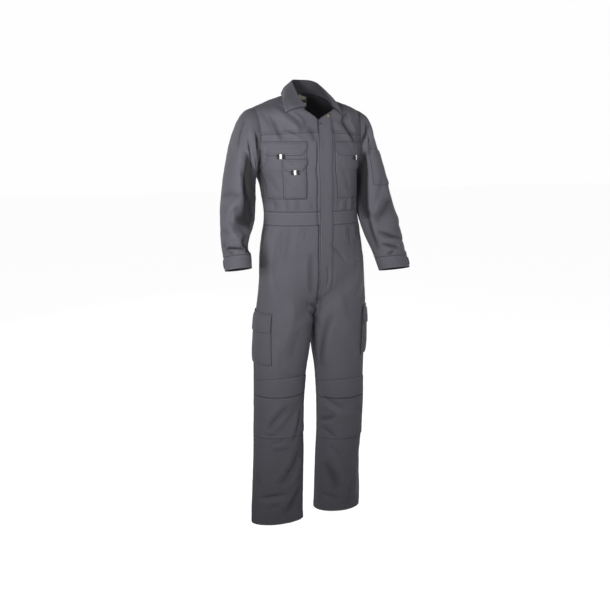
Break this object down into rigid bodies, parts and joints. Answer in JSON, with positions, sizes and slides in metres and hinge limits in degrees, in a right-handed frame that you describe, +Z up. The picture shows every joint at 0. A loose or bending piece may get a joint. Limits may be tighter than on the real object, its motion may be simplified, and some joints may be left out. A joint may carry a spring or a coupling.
{
  "type": "boiler suit",
  "caption": "Workwear coverall in grey twill, filled out as if worn, with open shirt collar, covered front fly, chest, sleeve and cargo pockets and knee pockets.",
  "frame": {"origin": "between the two shoulders, level with the neckline's sides, where a wearer holds the suit up", "axes": "+Z up along the body, the front of the suit faces -Y, the wearer's left is +X"},
  "size_m": [0.688, 0.306, 1.5931],
  "materials": {
    "twill": "dense matt twill, dark grey",
    "black_tape": "black woven tape",
    "white_tape": "white woven tape",
    "label": "blank beige woven label",
    "stud": "dark press stud",
    "brass_stud": "dull brass press stud"
  },
  "bodies": {
    "root": {"back": "twill", "care_label": "white_tape", "cargo_bag_left": "twill", "cargo_bag_right": "twill", "cargo_flap_left": "twill", "cargo_flap_right": "twill", "chest_bag_left": "twill", "chest_bag_right": "twill", "chest_flap_left": "twill", "chest_flap_right": "twill", "collar": "twill", "cuff_left": "twill", "cuff_right": "twill", "cuff_tab_left": "twill", "cuff_tab_right": "twill", "fly": "twill", "front_left": "twill", "front_right": "twill", "front_yoke_left": "twill", "front_yoke_right": "twill", "knee_band_left": "twill", "knee_band_right": "twill", "knee_pocket_left": "twill", "knee_pocket_right": "twill", "leg_back_left": "twill", "leg_back_right": "twill", "leg_front_left": "twill", "leg_front_right": "twill", "neck_label": "label", "phone_bag": "twill", "phone_flap": "twill", "pull_tab_1": "black_tape", "pull_tab_1_band": "white_tape", "pull_tab_2": "black_tape", "pull_tab_2_band": "white_tape", "pull_tab_3": "black_tape", "pull_tab_3_band": "white_tape", "sleeve_back_left": "twill", "sleeve_back_right": "twill", "sleeve_front_left": "twill", "sleeve_front_right": "twill", "sleeve_pocket": "twill", "snap_neck": "brass_stud", "snap_top": "stud", "waistband_back": "twill", "waistband_front_left": "twill", "waistband_front_right": "twill"}
  },
  "joints": []
}
